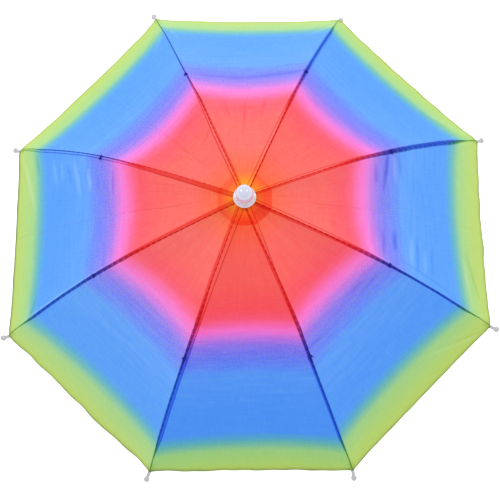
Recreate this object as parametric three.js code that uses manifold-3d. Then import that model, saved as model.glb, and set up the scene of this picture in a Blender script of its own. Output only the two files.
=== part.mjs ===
// An open umbrella hat: eight cloth gores sewn into a shallow canopy, carried on eight wire ribs
// that start in a slotted notch, are propped by stretchers from a runner on a short post, and hold
// an elastic headband on eight hangers. Millimetres, +Z up, the rib tips standing on z = 0.

import * as THREE from 'three';
import { mergeVertices } from 'three/addons/utils/BufferGeometryUtils.js';
import Module from 'manifold-3d';

const wasm = await Module();
wasm.setup();

// Canopy
const GORE_COUNT = 8;
const CANOPY_RADIUS = 260; // from the axis to a cloth corner, along a rib
const CANOPY_RISE = 126; // from the cloth corners up to the top of the cover
const HUB_FALL_SHARE = 0.39; // the part of the rise that is a straight fall from the hub
const DROOP_POWER = 2.9; // how late the rest of the rise is lost towards the rim
const GORE_DIP = 10; // how far the middle of a gore hangs below its chord
const HEM_BOW = 2; // how far the middle of a hem is drawn in
const HEM_BOW_POWER = 6; // keeps that pull near the hem
const CLOTH_WALL = 1;
const HEM_WIDTH = 7;
const HEM_WALL = 2; // the turned hem, three layers of cloth
const HEM_REACH = 0.92; // the share of the half gore that the turned hem covers
const SEAM_GAP = 0.3; // between two gores
const COVER_HOLE_RADIUS = 5.5;

// Round patch of cloth under the top of the cover
const PATCH_RADIUS = 29;
const PATCH_WALL = 1;

// Frame
const CLEARANCE = 0.3; // between pieces that touch on the real hat
const RIB_CLOTH_GAP = 0.4; // between a rib and the cover
const RIB_RADIUS = 1.2;
const RIB_START = 8; // where a rib begins inside the notch
const JOINT_SHARE = 0.594; // place of the stretcher's fork along the canopy radius
const STRETCHER_RADIUS = 1.1;
const FORK_LENGTH = 7;
const FORK_WALL = 1;
const FORK_BASE = 3; // thickness of the fork under the rib

// Rib tips
const TIP_BALL_RADIUS = 2.4;
const TIP_REACH = 8; // from the cloth corner to the centre of the ball
const TIP_NECK_RADIUS = 2;
const TIP_SOCKET_DEPTH = 4.5;

// Post, notch, runner and cap on the axis
const POST_RADIUS = 3.5;
const POST_TOP_INSET = 9; // how far the post stands up inside the cap
const POST_FLANGE_RADIUS = 7;
const POST_FLANGE_HEIGHT = 3;
const NOTCH_RADIUS = 13;
const NOTCH_HEIGHT = 7.5;
const SLOT_FLOOR_RADIUS = 6.5; // how deep the slots of notch and runner go in
const RUNNER_RADIUS = 12;
const RUNNER_HEIGHT = 8;
const RUNNER_DROP = 12; // clear height between notch and runner
const CAP_FLANGE_RADIUS = 10.8;
const CAP_FLANGE_HEIGHT = 2.2;
const CAP_KNOB_RADIUS = 8.6;
const CAP_KNOB_TOP_RADIUS = 8;
const CAP_HEIGHT = 20;

// Headband and its hangers
const BAND_INNER_RADIUS = 82;
const BAND_WALL = 1.6;
const BAND_WIDTH = 24;
const BAND_HEIGHT = 6; // its lower edge above the ground
const HANGER_WIDTH = 5;
const HANGER_WALL = 1.6;
const HANGER_GAP = 0.4;
const EYE_WALL = 1.5;
const EYE_LENGTH = 4;

// Numbers of steps
const GORE_COLUMNS = [-1, -HEM_REACH, -0.6, -0.2, 0.2, 0.6, HEM_REACH, 1];
const GORE_ROWS = 12;
const RIB_SIDES = 8;
const RIB_STEPS = 18;
const TIP_SIDES = 10;
const CAP_SIDES = 24;
const POST_SIDES = 16;
const BAND_SIDES = 64;

const HALF_GORE = Math.PI / GORE_COUNT;
const AXIS_DEPTH = CLOTH_WALL + RIB_CLOTH_GAP + RIB_RADIUS; // rib axis below the cover's outside

const cloth = (color) => new THREE.MeshStandardMaterial({ color, roughness: 0.85, metalness: 0 });
const MATERIALS = {
  cover: cloth(0x5fa4f5),
  patch: cloth(0xf0543c),
  band: cloth(0xf2f2f0),
  steel: new THREE.MeshStandardMaterial({ color: 0xb9bcc0, roughness: 0.35, metalness: 0.9 }),
  plastic: new THREE.MeshStandardMaterial({ color: 0xf1f1f4, roughness: 0.3, metalness: 0 }),
};

// Slope of the cover over a rib: how fast it falls for each millimetre outwards.
function fallAt(radius) {
  const share = radius / CANOPY_RADIUS;
  const droop = (1 - HUB_FALL_SHARE) * DROOP_POWER * share ** (DROOP_POWER - 1);
  return (CANOPY_RISE / CANOPY_RADIUS) * (HUB_FALL_SHARE + droop);
}

const RIM_ANGLE = Math.atan(fallAt(CANOPY_RADIUS));
const CORNER_HEIGHT =
  TIP_BALL_RADIUS + AXIS_DEPTH * Math.cos(RIM_ANGLE) + TIP_REACH * Math.sin(RIM_ANGLE);

// Height of the cover's outside over a rib: a straight fall from the hub and a droop that grows.
function heightAt(radius) {
  const share = radius / CANOPY_RADIUS;
  const lost = HUB_FALL_SHARE * share + (1 - HUB_FALL_SHARE) * share ** DROOP_POWER;
  return CORNER_HEIGHT + CANOPY_RISE * (1 - lost);
}

// A point of the gore that faces +X. `across` runs from -1 on one rib to 1 on the next, and
// `depth` is measured into the cloth, square to the rib's curve.
function coverPoint(radius, across, depth, seamInset = 0) {
  const share = radius / CANOPY_RADIUS;
  const slack = 1 - across * across;
  const angle = Math.atan(fallAt(radius));
  const azimuth = across * HALF_GORE;
  const drawnIn = HEM_BOW * share ** HEM_BOW_POWER * slack + depth * Math.sin(angle) * Math.cos(azimuth);
  const halfChord = radius * Math.sin(HALF_GORE) - seamInset / Math.cos(HALF_GORE);
  return new THREE.Vector3(
    radius * Math.cos(HALF_GORE) - drawnIn,
    across * halfChord - depth * Math.sin(angle) * Math.sin(azimuth),
    heightAt(radius) - GORE_DIP * Math.sin(Math.PI * share) * slack - depth * Math.cos(angle),
  );
}

// A point in the plane of a rib (x outwards), `depth` below the cover's outside.
function underRib(radius, depth) {
  const angle = Math.atan(fallAt(radius));
  return new THREE.Vector3(radius - depth * Math.sin(angle), 0, heightAt(radius) - depth * Math.cos(angle));
}

// Depth of a rib's axis: it dips near the hub, to pass under the patch.
function ribDepth(radius) {
  const away = THREE.MathUtils.smoothstep(radius, PATCH_RADIUS, 2 * PATCH_RADIUS);
  return AXIS_DEPTH + (PATCH_WALL + CLEARANCE) * (1 - away);
}

// A closed wall between two grids of points, outside(i, j) and inside(i, j). Rows run outwards and
// columns anticlockwise seen from above. A ring's last column joins its first.
function wallGeometry(rows, columns, outside, inside, ring = false) {
  const positions = [];
  for (const side of [outside, inside])
    for (let i = 0; i < rows; i++) for (let j = 0; j < columns; j++) positions.push(...side(i, j).toArray());
  const at = (i, j, layer) => layer * rows * columns + i * columns + (j % columns);
  const index = [];
  const quad = (a, b, c, d) => index.push(a, b, c, a, c, d);
  const lastColumn = ring ? columns : columns - 1;
  for (let i = 0; i < rows - 1; i++)
    for (let j = 0; j < lastColumn; j++) {
      quad(at(i, j, 0), at(i + 1, j, 0), at(i + 1, j + 1, 0), at(i, j + 1, 0));
      quad(at(i, j, 1), at(i, j + 1, 1), at(i + 1, j + 1, 1), at(i + 1, j, 1));
    }
  for (let j = 0; j < lastColumn; j++) {
    quad(at(0, j, 0), at(0, j + 1, 0), at(0, j + 1, 1), at(0, j, 1));
    quad(at(rows - 1, j, 0), at(rows - 1, j, 1), at(rows - 1, j + 1, 1), at(rows - 1, j + 1, 0));
  }
  if (!ring)
    for (let i = 0; i < rows - 1; i++) {
      quad(at(i, 0, 0), at(i, 0, 1), at(i + 1, 0, 1), at(i + 1, 0, 0));
      quad(at(i, columns - 1, 0), at(i + 1, columns - 1, 0), at(i + 1, columns - 1, 1), at(i, columns - 1, 1));
    }
  const geometry = new THREE.BufferGeometry();
  geometry.setAttribute('position', new THREE.Float32BufferAttribute(positions, 3));
  geometry.setIndex(index);
  geometry.computeVertexNormals();
  return geometry;
}

function goreGeometry() {
  const radii = [];
  for (let i = 0; i < GORE_ROWS; i++)
    radii.push(THREE.MathUtils.lerp(COVER_HOLE_RADIUS, CANOPY_RADIUS - HEM_WIDTH, i / (GORE_ROWS - 1)));
  const hemStart = radii.length;
  radii.push(CANOPY_RADIUS - HEM_WIDTH + CLEARANCE, CANOPY_RADIUS);
  const place = (i, j, depth) => coverPoint(radii[i], GORE_COLUMNS[j], depth, SEAM_GAP / 2);
  const turned = (i, j) => i >= hemStart && Math.abs(GORE_COLUMNS[j]) <= HEM_REACH;
  return wallGeometry(
    radii.length,
    GORE_COLUMNS.length,
    (i, j) => place(i, j, 0),
    (i, j) => place(i, j, turned(i, j) ? HEM_WALL : CLOTH_WALL),
  );
}

function patchGeometry() {
  const radii = [COVER_HOLE_RADIUS, PATCH_RADIUS];
  const top = CLOTH_WALL + CLEARANCE;
  const around = new THREE.Vector3(0, 0, 1);
  const columnsPerGore = GORE_COLUMNS.length - 1;
  const place = (i, j, depth) => {
    const turn = 2 * HALF_GORE * Math.floor(j / columnsPerGore);
    return coverPoint(radii[i], GORE_COLUMNS[j % columnsPerGore], depth).applyAxisAngle(around, turn);
  };
  const columns = columnsPerGore * GORE_COUNT;
  return wallGeometry(
    radii.length,
    columns,
    (i, j) => place(i, j, top),
    (i, j) => place(i, j, top + PATCH_WALL),
    true,
  );
}

function circle(radius, sides) {
  const points = [];
  for (let k = 0; k < sides; k++) {
    const angle = (2 * Math.PI * k) / sides;
    points.push(new THREE.Vector2(radius * Math.cos(angle), radius * Math.sin(angle)));
  }
  return points;
}

// A round wire along a list of points.
function wireGeometry(points, radius, steps) {
  const path = points.length > 2 ? new THREE.CatmullRomCurve3(points) : new THREE.LineCurve3(...points);
  const section = new THREE.Shape(circle(radius, RIB_SIDES));
  return new THREE.ExtrudeGeometry(section, { steps, extrudePath: path, bevelEnabled: false });
}

// A profile of [radius, height] pairs turned round the Z axis.
function turnedGeometry(profile, sides) {
  const points = profile.map(([radius, height]) => new THREE.Vector2(radius, height));
  return new THREE.LatheGeometry(points, sides).rotateX(Math.PI / 2);
}

function solidOf(geometry) {
  const bare = geometry.clone();
  bare.deleteAttribute('normal');
  bare.deleteAttribute('uv');
  const merged = mergeVertices(bare, 1e-4);
  return new wasm.Manifold(
    new wasm.Mesh({
      numProp: 3,
      vertProperties: merged.attributes.position.array,
      triVerts: new Uint32Array(merged.index.array),
    }),
  );
}

function geometryOf(solid) {
  const mesh = solid.getMesh();
  const geometry = new THREE.BufferGeometry();
  geometry.setAttribute('position', new THREE.BufferAttribute(mesh.vertProperties, 3));
  geometry.setIndex(new THREE.BufferAttribute(mesh.triVerts, 1));
  geometry.computeVertexNormals();
  return geometry;
}

function joined(...geometries) {
  return geometryOf(geometries.map(solidOf).reduce((whole, piece) => whole.add(piece)));
}

const RIB_END_DIRECTION = new THREE.Vector3(Math.cos(RIM_ANGLE), 0, -Math.sin(RIM_ANGLE));
const RIB_CORNER = underRib(CANOPY_RADIUS, AXIS_DEPTH);

function ribGeometry() {
  const points = [];
  for (let i = 0; i <= RIB_STEPS; i++) {
    const radius = THREE.MathUtils.lerp(RIB_START, CANOPY_RADIUS, i / RIB_STEPS);
    points.push(underRib(radius, ribDepth(radius)));
  }
  points.push(RIB_CORNER.clone().addScaledVector(RIB_END_DIRECTION, TIP_SOCKET_DEPTH));
  return wireGeometry(points, RIB_RADIUS, RIB_STEPS);
}

// A ball on a hollow neck that slips over the end of a rib. It starts just past the cloth corner.
function tipGeometry() {
  const neckStart = CLEARANCE;
  const bore = RIB_RADIUS + CLEARANCE;
  const ballJoin = TIP_REACH - Math.sqrt(TIP_BALL_RADIUS ** 2 - TIP_NECK_RADIUS ** 2 / 2);
  const profile = [
    [0, TIP_SOCKET_DEPTH + CLEARANCE],
    [bore, TIP_SOCKET_DEPTH + CLEARANCE],
    [bore, neckStart],
    [TIP_NECK_RADIUS, neckStart],
    [TIP_NECK_RADIUS, ballJoin],
  ];
  for (const degrees of [-30, 0, 30, 60]) {
    const angle = THREE.MathUtils.degToRad(degrees);
    profile.push([TIP_BALL_RADIUS * Math.cos(angle), TIP_REACH + TIP_BALL_RADIUS * Math.sin(angle)]);
  }
  profile.push([0, TIP_REACH + TIP_BALL_RADIUS]);
  const geometry = turnedGeometry(profile, TIP_SIDES);
  const turn = new THREE.Quaternion().setFromUnitVectors(new THREE.Vector3(0, 0, 1), RIB_END_DIRECTION);
  return geometry.applyQuaternion(turn).translate(...RIB_CORNER.toArray());
}

// Heights on the axis, from the cover down.
const NOTCH_TOP = coverPoint(NOTCH_RADIUS / Math.cos(HALF_GORE), 0, CLOTH_WALL + PATCH_WALL + 3 * CLEARANCE).z;
const NOTCH_BOTTOM = NOTCH_TOP - NOTCH_HEIGHT;
const RUNNER_TOP = NOTCH_BOTTOM - RUNNER_DROP;
const RUNNER_BOTTOM = RUNNER_TOP - RUNNER_HEIGHT;
const POST_TOP = heightAt(0) + POST_TOP_INSET;
const POST_BOTTOM = RUNNER_BOTTOM - CLEARANCE - POST_FLANGE_HEIGHT;

// A disc with a bore for the post and a radial slot for the end of each wire.
function slottedDisc(radius, height, wireRadius) {
  const halfSlot = wireRadius + CLEARANCE;
  const rimAngle = Math.asin(halfSlot / radius);
  const outline = [];
  for (let k = 0; k < GORE_COUNT; k++) {
    const azimuth = (2 * k + 1) * HALF_GORE;
    const corner = (out, side) =>
      new THREE.Vector2(out, side * halfSlot).rotateAround(new THREE.Vector2(), azimuth);
    const rim = Math.sqrt(radius ** 2 - halfSlot ** 2);
    outline.push(corner(rim, -1), corner(SLOT_FLOOR_RADIUS, -1), corner(SLOT_FLOOR_RADIUS, 1), corner(rim, 1));
    const arc = 2 * HALF_GORE - 2 * rimAngle;
    for (const share of [1 / 3, 2 / 3]) {
      const angle = azimuth + rimAngle + share * arc;
      outline.push(new THREE.Vector2(radius * Math.cos(angle), radius * Math.sin(angle)));
    }
  }
  const shape = new THREE.Shape(outline);
  shape.holes.push(new THREE.Path(circle(POST_RADIUS + CLEARANCE, POST_SIDES)));
  return new THREE.ExtrudeGeometry(shape, { depth: height, bevelEnabled: false });
}

function postGeometry() {
  return turnedGeometry(
    [
      [0, POST_BOTTOM],
      [POST_FLANGE_RADIUS, POST_BOTTOM],
      [POST_FLANGE_RADIUS, POST_BOTTOM + POST_FLANGE_HEIGHT],
      [POST_RADIUS, POST_BOTTOM + POST_FLANGE_HEIGHT],
      [POST_RADIUS, POST_TOP],
      [0, POST_TOP],
    ],
    POST_SIDES,
  );
}

// A flange that lies on the cover, a slightly tapered knob and a domed top, hollow for the post.
function capGeometry() {
  const bore = (POST_RADIUS + CLEARANCE) / Math.cos(Math.PI / POST_SIDES);
  const lift = 2 * CLEARANCE;
  const rim = heightAt(CAP_FLANGE_RADIUS) + lift;
  const domeStart = rim + CAP_HEIGHT - 0.9 * CAP_KNOB_TOP_RADIUS;
  const profile = [
    [0, POST_TOP + CLEARANCE],
    [bore, POST_TOP + CLEARANCE],
    [bore, heightAt(bore) + lift],
    [CAP_FLANGE_RADIUS, rim],
    [CAP_FLANGE_RADIUS, rim + 0.6 * CAP_FLANGE_HEIGHT],
    [CAP_FLANGE_RADIUS - 0.4 * CAP_FLANGE_HEIGHT, rim + CAP_FLANGE_HEIGHT],
    [CAP_KNOB_RADIUS, rim + CAP_FLANGE_HEIGHT],
    [CAP_KNOB_TOP_RADIUS, domeStart],
  ];
  for (const degrees of [20, 40, 60, 75]) {
    const angle = THREE.MathUtils.degToRad(degrees);
    const height = 0.9 * CAP_KNOB_TOP_RADIUS * Math.sin(angle);
    profile.push([CAP_KNOB_TOP_RADIUS * Math.cos(angle), domeStart + height]);
  }
  profile.push([0, rim + CAP_HEIGHT]);
  return turnedGeometry(profile, CAP_SIDES);
}

const JOINT_RADIUS = JOINT_SHARE * CANOPY_RADIUS;
const FORK_SEAT = RIB_RADIUS + CLEARANCE; // from the rib's axis to the inside of the fork
const STRETCHER_START = new THREE.Vector3(RIB_START, 0, (RUNNER_TOP + RUNNER_BOTTOM) / 2);
const STRETCHER_END = underRib(JOINT_RADIUS, AXIS_DEPTH + FORK_SEAT + FORK_BASE / 2);
const STRETCHER_SPAN = STRETCHER_END.clone().sub(STRETCHER_START);
const STRETCHER_ANGLE = Math.atan2(-STRETCHER_SPAN.z, STRETCHER_SPAN.x);

// A straight wire from the runner that ends in a fork under the rib.
function stretcherGeometry() {
  const half = FORK_SEAT + FORK_WALL;
  const fork = new THREE.Shape([
    new THREE.Vector2(-half, -FORK_SEAT - FORK_BASE),
    new THREE.Vector2(half, -FORK_SEAT - FORK_BASE),
    new THREE.Vector2(half, 0),
    new THREE.Vector2(FORK_SEAT, 0),
    new THREE.Vector2(FORK_SEAT, -FORK_SEAT),
    new THREE.Vector2(-FORK_SEAT, -FORK_SEAT),
    new THREE.Vector2(-FORK_SEAT, 0),
    new THREE.Vector2(-half, 0),
  ]);
  const angle = Math.atan(fallAt(JOINT_RADIUS));
  const sideways = new THREE.Vector3(0, 1, 0);
  const outOfCloth = new THREE.Vector3(Math.sin(angle), 0, Math.cos(angle));
  const alongRib = new THREE.Vector3(Math.cos(angle), 0, -Math.sin(angle));
  const forkGeometry = new THREE.ExtrudeGeometry(fork, { depth: FORK_LENGTH, bevelEnabled: false })
    .translate(0, 0, -FORK_LENGTH / 2)
    .applyMatrix4(
      new THREE.Matrix4()
        .makeBasis(sideways, outOfCloth, alongRib)
        .setPosition(underRib(JOINT_RADIUS, AXIS_DEPTH)),
    );
  return joined(wireGeometry([STRETCHER_START, STRETCHER_END], STRETCHER_RADIUS, 1), forkGeometry);
}

const BAND_CENTRE_RADIUS = BAND_INNER_RADIUS + BAND_WALL / 2;

function bandGeometry() {
  const inner = BAND_INNER_RADIUS;
  const outer = BAND_INNER_RADIUS + BAND_WALL;
  const top = BAND_HEIGHT + BAND_WIDTH;
  return turnedGeometry(
    [
      [inner, BAND_HEIGHT],
      [outer, BAND_HEIGHT],
      [outer, top],
      [inner, top],
      [inner, BAND_HEIGHT],
    ],
    BAND_SIDES,
  );
}

// A flat bar with an eye on the stretcher and a slot that the band passes through.
function hangerGeometry() {
  const share = (BAND_CENTRE_RADIUS - STRETCHER_START.x) / STRETCHER_SPAN.x;
  const eye = STRETCHER_START.clone().addScaledVector(STRETCHER_SPAN, share);
  const bore = STRETCHER_RADIUS + CLEARANCE;
  const rectangle = (halfWidth, bottom, top) => [
    new THREE.Vector2(-halfWidth, bottom),
    new THREE.Vector2(halfWidth, bottom),
    new THREE.Vector2(halfWidth, top),
    new THREE.Vector2(-halfWidth, top),
  ];
  const upright = (shape) =>
    new THREE.ExtrudeGeometry(shape, { depth: HANGER_WIDTH, bevelEnabled: false })
      .rotateX(Math.PI / 2)
      .translate(BAND_CENTRE_RADIUS, HANGER_WIDTH / 2, 0);
  const slotHalf = BAND_WALL / 2 + HANGER_GAP;
  const slotBottom = BAND_HEIGHT - HANGER_GAP;
  const slotTop = BAND_HEIGHT + BAND_WIDTH + HANGER_GAP;
  const loop = new THREE.Shape(rectangle(slotHalf + HANGER_WALL, slotBottom - HANGER_WALL, slotTop + HANGER_WALL));
  loop.holes.push(new THREE.Path(rectangle(slotHalf, slotBottom, slotTop)));
  const stemTop = eye.z - bore - EYE_WALL / 2;
  const stem = new THREE.Shape(rectangle(HANGER_WALL / 2, slotTop + HANGER_WALL / 2, stemTop));
  const ring = new THREE.Shape(circle(bore + EYE_WALL, RIB_SIDES));
  ring.holes.push(new THREE.Path(circle(bore / Math.cos(Math.PI / RIB_SIDES), RIB_SIDES)));
  const ringGeometry = new THREE.ExtrudeGeometry(ring, { depth: EYE_LENGTH, bevelEnabled: false })
    .translate(0, 0, -EYE_LENGTH / 2)
    .rotateY(Math.PI / 2 + STRETCHER_ANGLE)
    .translate(...eye.toArray());
  return joined(upright(loop), upright(stem), ringGeometry);
}

const hat = new THREE.Group();

function place(name, geometry, material, parent = hat) {
  const mesh = new THREE.Mesh(geometry, material);
  mesh.name = name;
  parent.add(mesh);
  return mesh;
}

// Adds a copy of each part in turn to every place around the axis.
function repeatAround(startAngle, parts) {
  for (let k = 0; k < GORE_COUNT; k++) {
    const turned = new THREE.Group();
    turned.rotation.z = startAngle + 2 * HALF_GORE * k;
    for (const [name, geometry, material] of parts) place(`${name}_${k + 1}`, geometry, material, turned);
    hat.add(turned);
  }
}

repeatAround(0, [['gore', goreGeometry(), MATERIALS.cover]]);
repeatAround(HALF_GORE, [
  ['rib', ribGeometry(), MATERIALS.steel],
  ['rib_tip', tipGeometry(), MATERIALS.plastic],
  ['stretcher', stretcherGeometry(), MATERIALS.steel],
  ['band_hanger', hangerGeometry(), MATERIALS.plastic],
]);
place('centre_patch', patchGeometry(), MATERIALS.patch);
place('headband', bandGeometry(), MATERIALS.band);
place('post', postGeometry(), MATERIALS.steel);
place('top_cap', capGeometry(), MATERIALS.plastic);
place('notch', slottedDisc(NOTCH_RADIUS, NOTCH_HEIGHT, RIB_RADIUS), MATERIALS.plastic).position.z = NOTCH_BOTTOM;
place('runner', slottedDisc(RUNNER_RADIUS, RUNNER_HEIGHT, STRETCHER_RADIUS), MATERIALS.plastic).position.z =
  RUNNER_BOTTOM;

// The balls of the rib tips stand on the ground.
hat.position.z = -new THREE.Box3().setFromObject(hat, true).min.z;

export default hat;
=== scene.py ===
import math

import bmesh
import bpy
import numpy as np
from mathutils import Matrix, Vector


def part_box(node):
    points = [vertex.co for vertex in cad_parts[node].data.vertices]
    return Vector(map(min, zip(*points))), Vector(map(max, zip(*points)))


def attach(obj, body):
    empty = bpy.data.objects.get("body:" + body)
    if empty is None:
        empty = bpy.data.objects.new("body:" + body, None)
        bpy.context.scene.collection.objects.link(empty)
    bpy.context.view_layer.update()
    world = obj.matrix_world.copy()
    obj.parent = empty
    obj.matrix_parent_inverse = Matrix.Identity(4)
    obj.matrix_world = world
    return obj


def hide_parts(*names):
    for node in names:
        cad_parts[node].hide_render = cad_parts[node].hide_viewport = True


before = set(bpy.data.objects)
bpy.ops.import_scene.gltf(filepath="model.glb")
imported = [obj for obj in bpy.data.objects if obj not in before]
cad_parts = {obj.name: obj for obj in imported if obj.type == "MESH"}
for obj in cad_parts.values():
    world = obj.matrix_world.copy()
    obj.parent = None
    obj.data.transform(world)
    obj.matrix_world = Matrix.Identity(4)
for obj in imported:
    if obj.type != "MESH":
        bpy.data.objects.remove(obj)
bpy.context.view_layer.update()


# Shader helpers. A Wire is one socket of a node tree; arithmetic on it adds Math nodes.
class Wire:
    def __init__(self, sheet, socket):
        self.sheet, self.socket = sheet, socket

    def math(self, operation, *others):
        return self.sheet.math(operation, self, *others)

    def __add__(self, other):
        return self.math("ADD", other)

    def __sub__(self, other):
        return self.math("SUBTRACT", other)

    def __rsub__(self, other):
        return self.sheet.math("SUBTRACT", other, self)

    def __mul__(self, other):
        return self.math("MULTIPLY", other)

    def __truediv__(self, other):
        return self.math("DIVIDE", other)

    __radd__, __rmul__ = __add__, __mul__


# One material's node tree.
class NodeSheet:
    def __init__(self, name):
        self.material = bpy.data.materials.new(name)
        self.material.use_nodes = True
        self.tree = self.material.node_tree
        self.tree.nodes.clear()

    # Adds one node: its settings first (a ramp's stops too), then values or links for its sockets.
    def node(self, kind, settings=None, sockets=None, output=0):
        made = self.tree.nodes.new(kind)
        for key, value in (settings or {}).items():
            if key == "stops":
                ramp = made.color_ramp
                while len(ramp.elements) > 1:
                    ramp.elements.remove(ramp.elements[-1])
                for i, (place, colour) in enumerate(value):
                    stop = ramp.elements[0] if i == 0 else ramp.elements.new(place)
                    stop.position, stop.color = place, (*colour, 1)
            else:
                setattr(made, key, value)
        for key, value in (sockets or {}).items():
            if isinstance(value, Wire):
                self.tree.links.new(value.socket, made.inputs[key])
            else:
                made.inputs[key].default_value = value
        return Wire(self, made.outputs[output]) if made.outputs else None

    def math(self, operation, *values):
        return self.node("ShaderNodeMath", {"operation": operation}, dict(enumerate(values)))

    def attribute(self, name):
        return self.node("ShaderNodeAttribute", {"attribute_name": name}, output="Fac")

    def place(self):
        return self.node("ShaderNodeTexCoord", output="Object")

    def uv(self):
        return self.node("ShaderNodeUVMap", {"uv_map": "cloth"})

    # A smooth step of a value, from one result at middle - soft to another at middle + soft.
    def step(self, value, middle, soft, before, after):
        return self.node("ShaderNodeMapRange", {"interpolation_type": "SMOOTHSTEP"},
                         {0: value, 1: middle - soft, 2: middle + soft, 3: before, 4: after})

    # 1 inside low..high of a value, with soft edges of the given width.
    def between(self, value, low, high, soft):
        return self.step(value, low, soft, 0, 1) * self.step(value, high, soft, 1, 0)

    def mixColour(self, factor, first, second, blend="MIX"):
        return self.node("ShaderNodeMix", {"data_type": "RGBA", "blend_type": blend},
                         {0: factor, 6: first, 7: second}, output=2)

    def scaledColour(self, colour, level):
        return self.mixColour(1.0, colour, level, "MULTIPLY")

    # Cloth in more layers, or over something dark: a gamma above 1, then less of it.
    def deepened(self, colour, gamma, share):
        deeper = self.node("ShaderNodeGamma", {}, {"Color": colour, "Gamma": gamma})
        return self.scaledColour(deeper, (share, share, share, 1))

    # Thin lines where a noise passes through its middle value: 1 - 14 |noise - 0.5|, never below 0.
    def thinLines(self, value):
        return (1 - (value - 0.5).math("ABSOLUTE") * 14.0).math("MAXIMUM", 0.0)

    def noise(self, vector, scale, detail=3.0):
        return self.node("ShaderNodeTexNoise", {}, {"Vector": vector, "Scale": scale, "Detail": detail})

    def stretched(self, vector, scale):
        return self.node("ShaderNodeMapping", {}, {"Vector": vector, "Scale": scale})

    def bump(self, height, distance, strength, normal=None):
        sockets = {"Height": height, "Distance": distance, "Strength": strength}
        if normal is not None:
            sockets["Normal"] = normal
        return self.node("ShaderNodeBump", {}, sockets)

    def finish(self, sockets):
        shader = self.node("ShaderNodeBsdfPrincipled", {}, sockets)
        self.node("ShaderNodeOutputMaterial", {}, {"Surface": shader})
        return self.material


# Rows of a table as dictionaries, one value for each column's name.
def tableRows(columns, *rows):
    return [dict(zip(columns.split(), row)) for row in rows]


# A colour's levels, 0 to 255 as a screen shows them, as amounts of light.
def linear(*levels):
    shares = [v / 255 for v in levels]
    return tuple(v / 12.92 if v <= 0.04045 else ((v + 0.055) / 1.055) ** 2.4 for v in shares)


# Mesh helpers. A grid is an array of points [rows, columns, 3], and faces are a list of arrays, one
# for each kind.
def gridFaces(rows, columns, ring=False):
    i, j = np.meshgrid(np.arange(rows - 1), np.arange(columns if ring else columns - 1), indexing="ij")
    k = (j + 1) % columns
    quads = [i * columns + j, (i + 1) * columns + j, (i + 1) * columns + k, i * columns + k]
    return np.stack(quads, -1).reshape(-1, 4)


# Faces of a closed shape turned outwards: the volume they enclose, the sum of a . (b x c), has to be above 0.
def outward(points, faces):
    volume = sum(np.sum(points[f[:, 0]] * np.cross(points[f[:, i]], points[f[:, i + 1]]))
                 for f in faces for i in range(1, f.shape[1] - 1))
    return faces if volume > 0 else [f[:, ::-1] for f in faces]


# A tube or turned shape: rings of points joined by quads, and at each end a fan round a point of its own.
def closedRings(rings, start, end):
    count, sides = rings.shape[:2]
    points = np.concatenate([rings.reshape(-1, 3), [start, end]])
    j = np.arange(sides)
    k = (j + 1) % sides
    first, last = np.full(sides, count * sides), (count - 1) * sides
    fans = [np.stack([j, k, first], -1), np.stack([k + last, j + last, first + 1], -1)]
    return points, outward(points, [gridFaces(count, sides, True), np.concatenate(fans)])


def joinedParts(parts):
    starts = np.cumsum([0] + [len(points) for points, faces in parts])
    faces = [f + start for (points, some), start in zip(parts, starts) for f in some]
    return np.concatenate([points for points, some in parts]), faces


def meshPiece(name, points, faces, material, values=None, uv=None):
    mesh = bpy.data.meshes.new(name)
    corners = np.asarray(points, float).reshape(-1, 3)
    mesh.from_pydata(corners.tolist(), [], sum((f.tolist() for f in faces), []))
    mesh.update()
    for key, value in (values or {}).items():
        made = mesh.attributes.new(key, "FLOAT", "POINT")
        made.data.foreach_set("value", np.asarray(value, np.float32).ravel())
    if uv is not None:
        places = np.zeros(len(mesh.loops), np.int32)
        mesh.loops.foreach_get("vertex_index", places)
        placed = np.asarray(uv, np.float32).reshape(-1, 2)[places]
        mesh.uv_layers.new(name="cloth").data.foreach_set("uv", placed.ravel())
    mesh.polygons.foreach_set("use_smooth", [True] * len(mesh.polygons))
    mesh.materials.append(material)
    piece = bpy.data.objects.new(name, mesh)
    bpy.context.scene.collection.objects.link(piece)
    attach(piece, "root")
    return piece


# A wall on the inner side of a sheet.
def thicken(piece, wall):
    solidify = piece.modifiers.new("wall", "SOLIDIFY")
    solidify.thickness, solidify.offset = wall, -1.0
    solidify.use_even_offset = True
    return piece


# A round tube along a path: circles of the given radii, square to the path.
def tube(path, radii, sides):
    path = np.asarray(path, float)
    along = np.gradient(path, axis=0)
    along /= np.linalg.norm(along, axis=1, keepdims=True)
    reference = np.array([0.0, 0.0, 1.0]) if abs(along[0][2]) < 0.9 else np.array([1.0, 0.0, 0.0])
    first = np.cross(along, reference)
    first /= np.linalg.norm(first, axis=1, keepdims=True)
    second = np.cross(along, first)
    turn = np.linspace(0, 2 * np.pi, sides, endpoint=False)[None, :, None]
    radii = np.broadcast_to(radii, (len(path),))[:, None, None]
    rings = path[:, None] + radii * (first[:, None] * np.cos(turn) + second[:, None] * np.sin(turn))
    return closedRings(rings, path[0], path[-1])


# A profile of [radius, height] points turned round Z: x = r cos a, y = r sin a. Its ends lie on the axis.
def turnedShape(profile, sides):
    profile = np.asarray(profile, float)
    turn = np.linspace(0, 2 * np.pi, sides, endpoint=False)
    inner = profile[1:-1]
    rings = np.stack([inner[:, :1] * np.cos(turn), inner[:, :1] * np.sin(turn), inner[:, 1:] + 0 * turn], -1)
    return closedRings(rings, [0, 0, profile[0][1]], [0, 0, profile[-1][1]])


def arcPoints(centre, radius, start, end, steps):
    angle = np.radians(np.linspace(start, end, steps))
    return np.stack([centre[0] + radius * np.cos(angle), centre[1] + radius * np.sin(angle)], -1).tolist()


def turned(points, angle, axis="Z"):
    return np.asarray(points) @ np.array(Matrix.Rotation(angle, 3, axis)).T


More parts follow.
